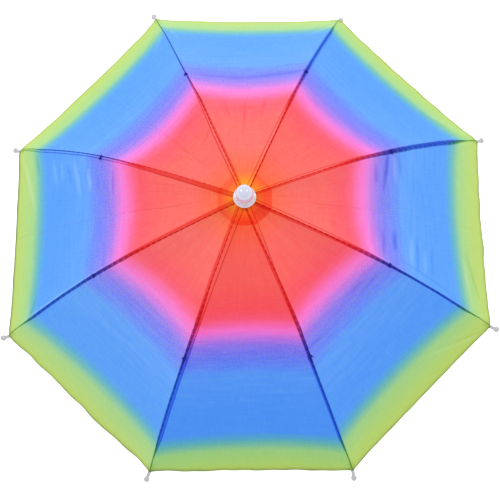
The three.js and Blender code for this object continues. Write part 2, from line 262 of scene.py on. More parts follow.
# Shape of the cover, the same rule as the solids: over a rib it falls straight from the hub and
# then droops with a power of the radius; across a gore it is a chord that dips in its middle.
canopy = {
    "gores": 8,
    "radius": 0.260,
    "rise": 0.126,
    "hubFall": 0.39,
    "droopPower": 2.9,
    "dip": 0.010,
    "hemBow": 0.002,
    "hemBowPower": 6,
    "hemEndPower": 8,  # power of the across share by which the hem's bow and waves end at the ribs
    "hole": 0.0055,
}
halfGore = math.pi / canopy["gores"]
ribDepthBelowCover = 0.0026  # the rib's axis, below the cover's outside
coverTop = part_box("gore_1")[1].z


def lostShare(share):
    return canopy["hubFall"] * share + (1 - canopy["hubFall"]) * share ** canopy["droopPower"]


cornerHeight = coverTop - canopy["rise"] * (1 - lostShare(canopy["hole"] / canopy["radius"]))


def heightAt(radius):
    return cornerHeight + canopy["rise"] * (1 - lostShare(radius / canopy["radius"]))


def fallAt(radius):
    share = radius / canopy["radius"]
    droop = (1 - canopy["hubFall"]) * canopy["droopPower"] * share ** (canopy["droopPower"] - 1)
    return canopy["rise"] / canopy["radius"] * (canopy["hubFall"] + droop)


# Point of the gore that faces +X: across runs from -1 to 1 between its ribs, depth goes into the cloth.
def coverPoint(radius, across, depth=0.0):
    radius, across, depth = np.broadcast_arrays(radius, across, depth)
    share = radius / canopy["radius"]
    slack = 1 - across ** 2
    slope = np.arctan(fallAt(radius))
    azimuth = across * halfGore
    drawnIn = canopy["hemBow"] * share ** canopy["hemBowPower"]
    drawnIn = drawnIn * (1 - np.abs(across) ** canopy["hemEndPower"])
    drawnIn = drawnIn + depth * np.sin(slope) * np.cos(azimuth)
    x = radius * math.cos(halfGore) - drawnIn
    y = across * radius * math.sin(halfGore) - depth * np.sin(slope) * np.sin(azimuth)
    z = heightAt(radius) - canopy["dip"] * np.sin(np.pi * share) * slack - depth * np.cos(slope)
    return np.stack([x, y, z], -1)


# Point in the plane of a rib, depth below the cover's outside.
def underRib(radius, depth):
    slope = np.arctan(fallAt(radius))
    return np.stack([radius - depth * np.sin(slope), 0 * slope, heightAt(radius) - depth * np.cos(slope)], -1)


# The open frame doesn't lie quite evenly. In metres: how far each rib's end sits out and aside
# (anticlockwise), how far the middle of the hem before that rib bows out, and how far the cloth's
# corner is drawn in there.
settling = {
    "power": 4,
    "pinchAcross": 0.0045,
    "pinchReach": 0.012,
    "ribs": tableRows(
        "out side bow pinch",
        (0.0002, -0.0011, -0.0007, 0.0012),
        (0.0014, -0.0006, -0.0022, 0.0014),
        (0.0048, -0.0022, -0.0014, 0.0004),
        (0.0015, 0.0042, -0.0040, 0.0022),
        (0.0054, 0.0022, 0.0009, 0.0012),
        (0.0002, 0.0008, 0.0036, 0.0002),
        (0.0014, 0.0006, 0.0018, 0.0004),
        (0.0026, 0.0006, 0.0009, 0.0012),
    ),
}


# Moves points of the open canopy by that unevenness, which grows with a power of the radius.
def settled(points):
    outs, sides, bows, pinches = (np.array([row[key] for row in settling["ribs"]])
                                  for key in ("out", "side", "bow", "pinch"))
    radius, turn = np.hypot(points[..., 0], points[..., 1]), np.arctan2(points[..., 1], points[..., 0])
    gore = turn / (2 * halfGore) + 0.5
    k = np.floor(gore).astype(int) % canopy["gores"]
    t = gore - np.floor(gore)
    ease = t * t * (3 - 2 * t)
    grow = (radius / canopy["radius"]) ** settling["power"]
    out = (outs[k - 1] * (1 - ease) + outs[k] * ease + 4 * bows[k] * t * (1 - t)) * grow
    near = np.minimum(t, 1 - t) * 2 * halfGore * radius / settling["pinchAcross"]
    drawn = np.exp(-near ** 2) * np.exp(np.minimum(radius - canopy["radius"], 0) / settling["pinchReach"])
    out = out - np.where(t < 0.5, pinches[k - 1], pinches[k]) * drawn
    side = (sides[k - 1] * (1 - ease) + sides[k] * ease) * grow
    across, along = np.cos(turn), np.sin(turn)
    return points + np.stack([out * across - side * along, out * along + side * across, 0 * out], -1)


# Camera: fitted to the cloth corners, the ribs and the cap in the photograph.
view = {
    "azimuth": 5.67, "elevation": 73.69, "distance": 1.312, "roll": 6.26,
    "focal": 1276.9,  # in the photograph's pixels
    "photoWidth": 500,
    "sensor": 36,
    "shift": (0.0025, -0.031),
}


def makeCamera():
    camera = bpy.data.objects.new("photo_camera", bpy.data.cameras.new("photo_camera"))
    bpy.context.scene.collection.objects.link(camera)
    camera.data.sensor_width = view["sensor"]
    camera.data.lens = view["focal"] * view["sensor"] / view["photoWidth"]
    camera.data.shift_x, camera.data.shift_y = view["shift"]
    camera.data.clip_start, camera.data.clip_end = 0.05, 30
    a, e, roll = (math.radians(view[k]) for k in ("azimuth", "elevation", "roll"))
    back = Vector((math.sin(a) * math.cos(e), -math.cos(a) * math.cos(e), math.sin(e)))
    side = Vector((math.cos(a), math.sin(a), 0))
    up = back.cross(side)
    across = math.cos(roll) * side - math.sin(roll) * up
    upright = math.sin(roll) * side + math.cos(roll) * up
    turn = Matrix((across, upright, back)).transposed()
    place = Vector((0, 0, cornerHeight)) + back * view["distance"]
    camera.matrix_world = Matrix.Translation(place) @ turn.to_4x4()
    bpy.context.scene.camera = camera


makeCamera()
print("camera set")

# Floor and light: a white table that glows a little, a pale surround and two soft boxes.
studio = {
    "floorSize": 6.0,
    "floorGlow": 0.75,
    "surround": 0.72,
    "lamps": [
        {"name": "back_left_box", "at": (-1.10, 0.80, 1.65), "size": 0.5, "watts": 10},
        {"name": "back_right_box", "at": (1.15, 0.70, 1.65), "size": 0.45, "watts": 8},
    ],
}


def makeStudio():
    sheet = NodeSheet("white_table")
    speck = sheet.noise(sheet.place(), 3.0)
    colour = sheet.mixColour(speck, (0.90, 0.90, 0.90, 1), (0.93, 0.93, 0.93, 1))
    material = sheet.finish({"Base Color": colour, "Roughness": 0.9, "Emission Color": (1, 1, 1, 1),
                             "Emission Strength": studio["floorGlow"]})
    half = studio["floorSize"] / 2
    corners = [(-half, -half, 0), (half, -half, 0), (half, half, 0), (-half, half, 0)]
    mesh = bpy.data.meshes.new("table")
    mesh.from_pydata(corners, [], [(0, 1, 2, 3)])
    mesh.materials.append(material)
    floor = bpy.data.objects.new("table", mesh)
    bpy.context.scene.collection.objects.link(floor)
    world = bpy.data.worlds.new("surround")
    bpy.context.scene.world = world
    world.use_nodes = True
    background = world.node_tree.nodes["Background"]
    background.inputs["Color"].default_value = (1, 1, 1, 1)
    background.inputs["Strength"].default_value = studio["surround"]
    for lamp in studio["lamps"]:
        light = bpy.data.lights.new(lamp["name"], "AREA")
        light.energy, light.size = lamp["watts"], lamp["size"]
        made = bpy.data.objects.new(lamp["name"], light)
        bpy.context.scene.collection.objects.link(made)
        made.location = lamp["at"]
        made.rotation_euler = (Vector(lamp["at"]) - Vector((0, 0, 0.05))).to_track_quat("Z", "Y").to_euler()


makeStudio()
bpy.context.scene.view_settings.view_transform = "Standard"
print("studio set")

# Printed cover cloth
cover = {
    "wall": 0.00035,
    "depth": 0.0003,  # the cloth's outside, below the solid's outside
    "rows": 176,
    "columns": 104,
    "crowding": 0.25,  # how much closer the columns are by the seams
    "cut": (0.207, 0.275),  # one gore laid flat, with 4 mm allowances: across its hem, and hem to top
    "cutArea": 0.0300,
    "hemWidth": 0.0036,
    "underGap": 0.0001,  # from the cloth to the turned hem and the seam allowances under it
    "allowance": {"start": 0.034, "endInset": 0.0015, "rows": 90, "width": 0.0042, "wall": 0.0005},
    "wave": 0.0008,  # height of the hem's waves
    "waveReach": 0.016,  # how far inwards they last
    "drape": 0.0007,  # height of the broad waves in a gore
    # the first seed and the cycles across a gore of the hem's waves, up and outwards, and of the broad ones
    "waves": {"up": (40, (1.5, 2.5, 4.0, 6.5)), "outwards": (60, (1.5, 3.0, 5.0, 8.0)),
              "broad": (80, (2.0, 3.5))},
    # where each dye of the print sits, as a share of the way out along a rib
    "print": [
        (0.000, (255, 196, 50)),
        (0.055, (255, 156, 45)),
        (0.100, (253, 110, 66)),
        (0.230, (252, 111, 104)),
        (0.340, (252, 108, 103)),
        (0.430, (252, 95, 108)),
        (0.460, (253, 102, 136)),
        (0.512, (251, 129, 217)),
        (0.563, (155, 130, 239)),
        (0.600, (125, 134, 245)),
        (0.638, (111, 145, 250)),
        (0.672, (101, 165, 252)),
        (0.800, (88, 160, 252)),
        (0.863, (88, 160, 251)),
        (0.886, (93, 175, 218)),
        (0.905, (116, 191, 182)),
        (0.932, (165, 213, 142)),
        (0.975, (180, 215, 123)),
        (1.000, (186, 214, 112)),
    ],
    # each gore is cut from the printed cloth a little apart: how far its print sits out along the
    # rib, its pink and its green a little more, how much it bows towards the hub in the middle and
    # slants, how deep its dye is together with painted shade (deepest on the gore facing -Y, away from
    # the lamps, lightest on the one facing +Y), how sharp its fold, how much the patch under it shows,
    # how worn its hem is and how much that waves
    "cuts": tableRows(
        "shift pink green bow slant deep fold patched hem wave",
        (-0.020, 0.000, 0.000, 0.020, 0.006, 0.99, 1.0, 0.85, 0.24, 0.8),
        (0.006, 0.005, -0.003, 0.015, 0.006, 1.02, 0.2, 0.50, 0.22, 0.8),
        (0.020, 0.003, -0.010, 0.012, -0.002, 0.95, 0.4, 0.20, 0.08, 0.5),
        (-0.012, 0.003, -0.004, 0.014, 0.005, 1.00, 1.5, 0.38, 0.15, 0.6),
        (0.001, 0.000, -0.007, 0.019, 0.000, 1.01, 1.5, 0.55, 0.45, 0.25),
        (0.000, 0.000, -0.002, 0.022, 0.004, 0.98, 0.4, 0.65, 0.20, 1.2),
        (-0.004, 0.013, 0.018, 0.020, 0.004, 1.16, 0.6, 0.90, 0.28, 0.9),
        (-0.028, 0.000, 0.004, 0.018, 0.000, 1.06, 0.3, 0.90, 0.22, 0.6),
    ),
    # how each rib's seam lies at six shares of the way out, in mm anticlockwise of the rib: where its
    # stitched line runs, how wide the gathered cloth under that line and the rib's painted shadow are,
    # from where to where its allowance shows beside the line, and where the edge of the allowance shows
    "seamShares": (0.12, 0.30, 0.48, 0.62, 0.88, 0.95),
    "seams": tableRows(
        "drift core low high edge",
        ((0.8, 1.0, 1.4, 0.9, 0.2, 0.6), (1.3, 1.3, 3.6, 5.4, 5.4, 1.2),
         (-2.4, -2.4, -2.0, -2.4, -2.3, -1.0), (0.4, 0.4, 3.0, 2.8, 2.2, 1.0),
         (2.5, 3.2, 2.8, 0.0, 0.0, 0.0)),
        ((-0.8, -0.6, 0.4, 0.4, -0.2, 1.1), (1.3, 1.3, 2.2, 2.2, 1.4, 0.8),
         (-1.0, -1.0, -2.4, -2.7, -2.5, -0.5), (0.5, 0.5, 2.2, 2.7, 2.5, 0.5),
         (3.8, 3.6, 2.0, 0.0, 0.0, 0.0)),
        ((-0.7, -0.9, -2.1, -0.2, -0.6, 0.4), (1.1, 1.1, 1.8, 1.0, 0.9, 0.8),
         (-2.4, -2.4, -1.5, -1.2, -0.8, -0.5), (0.3, 0.3, 0.8, 0.5, 0.5, 0.5),
         (3.0, 2.8, 2.0, 0.0, 0.0, 0.0)),
        ((-1.0, -1.0, -0.6, -0.9, -0.2, -1.8), (0.9, 0.9, 1.3, 1.4, 1.4, 1.2),
         (-0.4, -0.4, -0.5, -0.4, -0.4, -0.4), (4.5, 4.3, 2.0, 0.4, 0.4, 0.4),
         (4.4, 4.2, 2.8, 2.6, 2.8, 2.4)),
        ((1.5, 1.5, 0.1, -0.1, 0.7, -1.0), (1.0, 1.0, 3.6, 3.2, 3.0, 1.0),
         (-3.7, -3.5, -1.6, -1.4, -1.3, -0.6), (0.3, 0.3, 1.6, 1.4, 1.3, 0.6),
         (-3.7, -3.5, -2.0, 0.0, 0.0, 0.0)),
        ((-1.1, -0.6, 0.4, 0.3, 0.0, 0.1), (1.3, 1.3, 3.2, 2.2, 2.0, 0.8),
         (-3.5, -3.3, -2.0, -0.8, -0.8, -0.5), (0.3, 0.3, 3.2, 3.6, 3.4, 0.6),
         (4.2, 4.0, 3.4, 3.5, 3.3, 0.0)),
        ((-2.7, -0.4, 0.1, -0.6, -0.9, -0.3), (1.2, 1.2, 3.6, 2.2, 1.8, 0.9),
         (-1.5, -2.8, -2.0, -2.6, -2.4, -0.6), (0.4, 0.4, 1.6, 0.8, 0.6, 0.5),
         (4.5, 0.4, 1.5, 0.0, 0.0, 0.0)),
        ((-0.6, -0.6, -0.1, -0.3, -1.0, 0.7), (1.3, 1.3, 3.8, 2.3, 2.2, 0.9),
         (-2.6, -2.4, -1.8, -1.4, -1.0, -0.5), (0.3, 0.3, 1.8, 1.0, 0.8, 0.5),
         (3.3, 3.0, 2.2, 0.0, 0.0, 0.0)),
    ),
    # how light the gathered cloth and the rib's painted shadow through it look, at shares of the way
    # out: darkest round the ties
    "gatheredAndRibShadow": [(0.0, 0.85), (0.40, 0.78), (0.50, 0.36), (0.61, 0.34), (0.68, 0.54), (0.86, 0.57),
                 (0.93, 0.80)],
    "patchShare": 0.106,  # how far out the patch shows through
    "wornHem": 0.0013,
    "cornerReach": 0.0035,  # a gore's corners are darker where the hem is gathered
}
# The cloth close up: scales in cycles a metre, and how much each unevenness changes the dye's depth
weave = {
    "threads": 900.0,
    "threadRun": 80.0,
    "threadShare": 0.20,
    "slubs": 230.0,
    "slubRun": 26.0,
    "grain": 720.0,
    "grainShare": 0.45,
    "looseShare": 1.10,  # the more between pink and blue
    "grainLight": 0.28,  # the same for how light it is
    "looseLight": 0.65,
    "pleatShare": 0.04,
    "dots": 1100.0,
    "foldHalf": 0.0003,  # half the width of the fold down a gore
}
# Seams are sewn in long stitches, hems in short ones
stitching = {
    "start": 0.0135,
    "pitch": 0.0058,
    "length": 0.0038,
    "thread": 0.00026,
    "sides": 6,
    "hemPitch": 0.0030,
    "hemInset": 0.0031,
}
rimHalf = canopy["radius"] * math.sin(halfGore)
rimSlope = math.atan(fallAt(canopy["radius"]))


# The print's colour at a point. Between pink and blue its dots mix loosely.
def printedColour(sheet):
    stripe, cloth = sheet.attribute("stripe"), sheet.uv()
    wander = sheet.noise(sheet.stretched(cloth, (9, 24, 1)), 1.0, 4.0) - 0.5
    dots = (sheet.noise(cloth, weave["dots"], 1.0) - 0.5) * sheet.between(stripe, 0.49, 0.67, 0.03)
    outer = sheet.between(stripe, 0.965, 2.0, 0.03)
    stops = [(at, linear(*colour)) for at, colour in cover["print"]]
    moved = stripe + wander * (outer * 0.08 + 0.010) + dots * 0.11
    return sheet.node("ShaderNodeValToRGB", {"stops": stops}, {"Fac": moved})


# One seam over the print. `line` is -1 to 1 across the cloth gathered under its stitches, where
# the rib's shadow through the cloth is painted as a dark line, `band` 0 to 1 across its allowance,
# `edge` the distance (m) from the allowance's edge, and `dash` 1 on a stitch, where that painted
# line is darker as painted shade of the stitch.
def seamedColour(sheet, colour, gatheredAndRibShadow, twice, line, band, edge, dash):
    allowance = sheet.between(band, 0.0, 1.0, 0.12) * 0.85
    doubled = sheet.mixColour(allowance, colour, sheet.deepened(colour, twice, 0.88))
    edging = sheet.between(edge, -0.0005, 0.0005, 0.0003) * 0.8
    edged = sheet.mixColour(edging, doubled, sheet.deepened(colour, 2.2, 0.76))
    # painted shadow of the rib under the cloth, over the gathered cloth: the print much deeper, lighter or
    # darker by the share of the way out
    dark = sheet.scaledColour(sheet.deepened(colour, 2.2, 1.0), gatheredAndRibShadow)
    return sheet.mixColour(sheet.between(line, -1.15, 1.15, 0.35) * dash, edged, dark)


# The seams over both ribs of a gore, in dashes of the stitches' pitch.
def sewnColour(sheet, colour, out, waver):
    levels = [(at, (level, level, level)) for at, level in cover["gatheredAndRibShadow"]]
    gatheredAndRibShadow = sheet.node("ShaderNodeValToRGB", {"stops": levels}, {"Fac": out})
    steps = ((out * canopy["radius"] - stitching["start"]) / stitching["pitch"] + 0.5).math("FRACT")
    outer = sheet.between(out, 0.46, 1.2, 0.06)
    mottle = sheet.noise(sheet.uv(), 420.0, 2.0) * 0.5
    # the seam's dark line is darker on each stitch, as painted shade of the stitch
    dash = sheet.between(steps, 0.16, 0.84, 0.10) * (0.45 - outer * 0.25)
    dash = dash + outer * 0.2 + 0.3 + mottle
    twice = sheet.between(out, 0.405, 0.475, 0.015) * 0.9 + 1.65
    for side in ("Ahead", "Behind"):
        line, band, edge = (sheet.attribute(key + side) for key in ("line", "band", "edge"))
        colour = seamedColour(sheet, colour, gatheredAndRibShadow, twice, line + waver * 500, band + waver * 150,
                              edge + waver, dash)
    return colour


# The rolled hem, yellower and worn at its edge, and the darker corners.
def hemmedColour(sheet, colour, out, across, waver):
    cloth = sheet.uv()
    hem = (1 - out) * canopy["radius"] + waver
    rolled = sheet.between(hem, -0.01, cover["hemWidth"], 0.0004)
    colour = sheet.mixColour(rolled * 0.14, colour, (*linear(212, 220, 50), 1))
    edge = sheet.between(hem, -0.01, cover["wornHem"], 0.0004)
    inner = sheet.between(hem, -0.01, 0.0025, 0.0005)
    worn = edge * (sheet.noise(cloth, 45.0, 3.0) * 0.9 - 0.05)
    worn = worn + inner * sheet.attribute("hem") * (sheet.noise(cloth, 120.0, 2.0) + 0.5)
    colour = sheet.mixColour(worn, colour, (*linear(104, 118, 74), 1))
    aside = (1 - across.math("ABSOLUTE")) * out * rimHalf
    corner = sheet.between(aside, -0.01, cover["cornerReach"], 0.0018)
    corner = corner * sheet.between(hem, -0.01, 0.0065, 0.0025) * 0.4
    return sheet.mixColour(corner, colour, sheet.deepened(colour, 1.7, 0.78))


def coverMaterial():
    sheet = NodeSheet("printed_cover")
    cloth = sheet.uv()
    out, across, deep, paintedCrease = (sheet.attribute(key) for key in ("out", "across", "deep", "paintedCrease"))
    # uneven threads run both ways, and the cloth has slubs, a grain, pleats round the top and a fold
    along, over = weave["threadRun"], weave["threads"]
    weft = sheet.noise(sheet.stretched(cloth, (along, over, 1)), 1.0, 2.0)
    warp = sheet.noise(sheet.stretched(cloth, (over, along, 1)), 1.0, 2.0)
    slubs = sheet.noise(sheet.stretched(cloth, (weave["slubRun"], weave["slubs"], 1)), 1.0, 3.0)
    rucks = (slubs - 0.5) * (sheet.between(out, 0.45, 0.75, 0.08) * 0.20 + 0.10)
    loose = sheet.between(sheet.attribute("stripe"), 0.51, 0.66, 0.03)
    grain = sheet.noise(cloth, weave["grain"], 2.0) - 0.5
    fan = sheet.node("ShaderNodeCombineXYZ", {}, {0: across * 4.0, 1: out * 3.0, 2: deep * 40.0})
    pleats = sheet.thinLines(sheet.noise(fan, 1.0, 2.0)) * sheet.between(out, 0.04, 0.42, 0.06)
    wander = sheet.noise(sheet.stretched(cloth, (10, 30, 1)), 1.0) - 0.5
    middle = across * out * rimHalf + wander * 0.004
    fold = sheet.between(middle, -weave["foldHalf"], weave["foldHalf"], 0.0005)
    fold = fold * sheet.attribute("fold") * sheet.between(out, 0.2, 1.1, 0.1)
    # the gore's depth of dye, with painted shade added on the gores that face away from the lamps
    density = deep + (weft + warp - 1.0) * weave["threadShare"]
    density = density + grain * (loose * weave["looseShare"] + weave["grainShare"])
    # the creases deepen the dye as painted shade, and the pale ones lighten it as painted highlight
    density = density + rucks + paintedCrease + pleats * weave["pleatShare"]
    # the fold's line is painted: a little deeper near the top as painted shade, paler further out as painted
    # highlight
    density = density + fold * (sheet.between(out, -0.1, 0.5, 0.05) * 0.16 - 0.13)
    colour = sheet.node("ShaderNodeGamma", {}, {"Color": printedColour(sheet), "Gamma": density})
    light = grain * (loose * weave["looseLight"] + weave["grainLight"]) + 1.0
    colour = sheet.scaledColour(colour, light)
    # painted shade in the creases towards dark blue, and painted highlight on the pale ones towards pale
    # blue-white
    colour = sheet.mixColour(paintedCrease * 0.40, colour, (0.03, 0.03, 0.15, 1))
    colour = sheet.mixColour(paintedCrease * -0.45, colour, (0.75, 0.90, 1.00, 1))
    # over that the patch shows through, and then come the seams and the hem
    waver = (sheet.noise(cloth, 60.0, 3.0) - 0.5) * 0.0010
    doubled = sheet.between(out + waver * 4, -0.1, cover["patchShare"], 0.0025) * sheet.attribute("patched")
    colour = sheet.mixColour(doubled, colour, sheet.deepened(colour, 1.5, 1.0))
    colour = sewnColour(sheet, colour, out, waver)
    colour = hemmedColour(sheet, colour, out, across, waver)
    # plain weave: two sets of threads under the wider unevenness and creases
    threads = [sheet.node("ShaderNodeTexWave", {"bands_direction": way},
                          {"Vector": cloth, "Scale": weave["threads"], "Distortion": 0.6}) for way in "XY"]
    normal = sheet.bump(threads[0] + threads[1], 0.00004, 0.35)
    normal = sheet.bump(weft + warp, 0.0002, 0.5, normal)
    normal = sheet.bump(rucks * 0.6 + pleats * 0.2 + fold * 0.5, 0.0008, 0.8, normal)
    return sheet.finish({"Base Color": colour, "Roughness": 0.7, "Normal": normal,
                         "Specular IOR Level": 0.22})


# How a place lies to the seam over a rib, from its distance (m) anticlockwise of the rib: across
# the gathered cloth, across the allowance, and from the allowance's edge.
def seamFields(rib, share, beside, side):
    row = cover["seams"][rib % canopy["gores"]]
    drift, core, low, high, edge = (np.interp(share, cover["seamShares"], row[name])
                                    for name in ("drift", "core", "low", "high", "edge"))
    off = beside * 1000 - drift
    return {"line" + side: off / (core / 2), "band" + side: (off - low) / (high - low),
            "edge" + side: (off - edge) / 1000}


# Creases of single gores, painted in as shade along each fold, and as a pale painted highlight
# where the amount is below 0: the gore, where each starts and ends as shares of the way out and
# across, how wide it is in mm, and how dark, or how pale where that is below 0
creases = tableRows(
    "gore out across endOut endAcross wide dark",
    (0, 0.578, 1.00, 0.561, 0.44, 1.6, 0.36),
    (0, 0.529, 0.84, 0.526, 0.54, 1.6, 0.20),
    (0, 0.601, 0.94, 0.609, 0.53, 2.0, -0.12),
    (0, 0.626, 0.90, 0.631, 0.60, 1.2, 0.18),
    (0, 0.596, -0.34, 0.594, -0.66, 2.0, 0.28),
    (0, 0.549, -0.41, 0.546, -0.85, 1.6, 0.20),
    (0, 0.691, -0.35, 0.688, -0.81, 1.6, 0.16),
    (0, 0.666, -0.36, 0.661, -0.78, 2.0, -0.13),
    (0, 0.752, -0.45, 0.746, -0.82, 1.8, 0.12),
    (0, 0.724, -0.50, 0.716, -0.84, 1.8, -0.09),
    (0, 0.913, -0.35, 0.953, -0.74, 1.5, 0.16),
    (0, 0.893, -0.42, 0.920, -0.84, 1.5, -0.10),
    (0, 0.626, -0.80, 0.813, -0.91, 0.8, 0.16),
    (1, 0.895, -0.50, 0.943, -0.95, 1.1, 0.14),
    (1, 0.923, -0.49, 0.985, -0.88, 1.0, -0.08),
    (2, 0.614, 0.89, 0.601, 0.09, 2.2, 0.13),
    (2, 0.601, 0.15, 0.621, -0.93, 2.0, 0.20),
    (2, 0.462, 0.45, 0.387, 0.40, 0.9, 0.14),
    (2, 0.464, 0.01, 0.322, 0.06, 1.0, 0.16),
    (2, 0.501, -0.42, 0.384, -0.40, 0.9, 0.14),
    (2, 0.873, -0.74, 0.943, -0.99, 1.2, -0.10),
    (2, 0.945, 0.93, 0.838, 0.85, 1.2, -0.08),
    (3, 0.330, -0.95, 0.299, -0.51, 1.0, 0.16),
    (3, 0.427, -0.68, 0.419, -0.26, 1.1, 0.10),
    (3, 0.885, -0.95, 0.836, -0.79, 1.1, -0.10),
    (3, 0.923, -0.91, 0.900, -0.74, 1.0, 0.14),
    (4, 0.973, -0.88, 0.903, -0.29, 2.0, -0.12),
    (4, 0.815, -0.84, 0.800, -0.58, 1.6, -0.14),
    (4, 0.715, -0.86, 0.690, -0.42, 1.8, -0.16),
    (4, 0.600, 0.955, 0.930, 0.975, 0.5, -0.30),
    (4, 0.903, -0.89, 0.888, -0.70, 1.2, 0.16),
    (4, 0.778, -0.86, 0.771, -0.62, 1.2, -0.12),
    (4, 0.748, -0.82, 0.731, -0.59, 1.0, 0.14),
    (4, 0.653, -0.76, 0.641, -0.47, 1.8, -0.18),
    (4, 0.609, -0.68, 0.604, -0.47, 1.0, 0.14),
    (4, 0.541, -0.78, 0.544, -0.40, 1.2, 0.20),
    (4, 0.556, -0.74, 0.549, -0.36, 0.9, -0.10),
    (4, 0.875, 0.80, 0.892, 0.97, 1.2, 0.18),
    (4, 0.903, 0.80, 0.912, 0.97, 1.1, -0.10),
    (7, 0.534, 0.59, 0.526, 0.11, 1.2, 0.16),
    (7, 0.556, 0.79, 0.556, 0.38, 1.2, 0.18),
    (7, 0.566, -0.93, 0.571, -0.65, 1.2, 0.14),
    (7, 0.905, 0.34, 0.998, 0.89, 1.6, -0.08),
    (7, 0.923, 0.49, 0.993, 0.93, 1.2, 0.10),
)
creaseOverrun = 1.35  # a crease fades out a little past its two ends


# Place on the flat plan of a gore, at shares of the way out and across.
def onPlan(out, across):
    return out * canopy["radius"] * math.cos(halfGore), across * out * canopy["radius"] * math.sin(halfGore)


# How dark the painted shade of gore k's creases is, and how pale the painted highlight of its pale
# ones: each fades with the square of the distance from its line, and towards its two ends.
def creaseShadeAndHighlight(k, radii, across):
    x, y = onPlan(radii / canopy["radius"], across)
    depth = 0 * x
    for paintedCrease in creases:
        if paintedCrease["gore"] == k:
            start = onPlan(paintedCrease["out"], paintedCrease["across"])
            end = onPlan(paintedCrease["endOut"], paintedCrease["endAcross"])
            runX, runY = end[0] - start[0], end[1] - start[1]
            length = math.hypot(runX, runY)
            along = ((x - start[0]) * runX + (y - start[1]) * runY) / length ** 2
            off = ((x - start[0]) * runY - (y - start[1]) * runX) / length
            fade = np.clip(1 - ((2 * along - 1) / creaseOverrun) ** 2, 0, 1)
            depth = depth + paintedCrease["dark"] * fade * np.exp(-(off * 1000 / paintedCrease["wide"]) ** 2)
    return depth


# What the cloth's finish reads at each point: the print's stripe, its dye with painted shade, the
# painted shade and highlight of the creases, and the seams with the rib's painted shadow.
def clothFields(k, radii, across):
    radii, across = np.broadcast_arrays(radii, across)
    share, halfWidth, cut = radii / canopy["radius"], radii * math.sin(halfGore), cover["cuts"][k]
    bow = cut["bow"] * (1 - across ** 2) + cut["slant"] * across
    stripe = share - cut["shift"] + bow * np.clip(share / 0.4, 0, 1)
    stripe = stripe - np.interp(stripe, (0.38, 0.47, 0.53, 0.80, 0.88), (0, cut["pink"], 0, 0, cut["green"]))
    fields = {"stripe": stripe, "out": share, "across": across, "paintedCrease": creaseShadeAndHighlight(k, radii, across)}
    fields.update({key: 0 * share + cut[key] for key in ("deep", "fold", "patched", "hem")})
    fields.update(seamFields(k, share, -(1 - across) * halfWidth, "Ahead"))
    fields.update(seamFields(k - 1, share, (1 + across) * halfWidth, "Behind"))
    return fields


# A few sines across gore k, of random strengths and phases.
def waves(kind, k, across):
    seed, cycles = cover["waves"][kind]
    draw = np.random.default_rng(seed + k)
    return sum(draw.uniform(-1, 1) / c ** 0.5 * np.sin(np.pi * c * across + draw.uniform(0, 6.28))
               for c in cycles)


# The cloth as it hangs: waves of the free hem that die away inwards, and broad low waves between
# the ribs.
def goreSurface(k, radii, across, depth):
    points = coverPoint(radii, across, depth)
    atHem = cover["wave"] * cover["cuts"][k]["wave"] * (1 - across ** canopy["hemEndPower"])
    atHem = atHem * np.exp((radii - canopy["radius"]) / cover["waveReach"])
    points[..., 2] += atHem * waves("up", k, across)
    points[..., 0] += atHem * waves("outwards", k, across)
    share = radii / canopy["radius"]
    loose = np.sin(np.pi * share) * (1 - across ** 2)
    broad = waves("broad", k, across + 0.3 * np.sin(5 * share + k)) * np.sin(9 * share + k)
    points[..., 2] += cover["drape"] * loose * broad
    return points


# A sheet of cloth on gore k, from rows of radii and columns across, with a wall inwards.
def clothPiece(name, k, radii, across, depth, wall, material):
    points = goreSurface(k, radii, across, depth)
    steps = np.linalg.norm(np.diff(points[:, :1], axis=0, prepend=points[:1, :1]), axis=2)
    wide, high = across * radii * math.sin(halfGore), np.cumsum(steps, axis=0) + radii[:1]
    uv = np.stack([wide + 0.3 * k, high + 0 * across], -1)
    placed = settled(turned(points, 2 * halfGore * k))
    fields = clothFields(k, radii, across)
    piece = meshPiece(name, placed, [gridFaces(*points.shape[:2])], material, fields, uv)
    return thicken(piece, wall)


def makeGores():
    material = coverMaterial()
    rim = canopy["radius"]
    radii = canopy["hole"] + (rim - canopy["hole"]) * np.linspace(0, 1, cover["rows"])[:, None]
    t = np.linspace(-1, 1, cover["columns"])[None, :]
    across = (1 - cover["crowding"]) * t + cover["crowding"] * np.sin(np.pi / 2 * t)
    hemRadii = rim - cover["hemWidth"] * np.linspace(1, 0.04, 6)[:, None]
    edge = cover["allowance"]
    seamRadii = np.linspace(edge["start"], rim - edge["endInset"], edge["rows"])[:, None]
    reach = np.linspace(edge["width"], 0.0002, 4)[None, :] / (seamRadii * math.sin(halfGore))
    under = cover["depth"] + cover["wall"] + cover["underGap"]
    for k in range(canopy["gores"]):
        gore = clothPiece(f"cover_gore_{k + 1}", k, radii, across, cover["depth"], cover["wall"], material)
        hem = clothPiece(f"turned_hem_{k + 1}", k, hemRadii, across * 0.975, under, cover["wall"], material)
        allowance = clothPiece(f"seam_edge_{k + 1}", k, seamRadii, 1 - reach, under, edge["wall"], material)
        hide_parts(f"gore_{k + 1}")
    return material


coverCloth = makeGores()
print("cover made")

# Patch of the same cloth under the top, in sectors that follow the gores
patch = {
    "radius": 0.029,
    "wall": 0.0006,
    "depth": 0.0014,
    "rows": 14,
    "columns": 16,
    "areaShare": 2.83,  # an octagon's area over the square of its radius
}


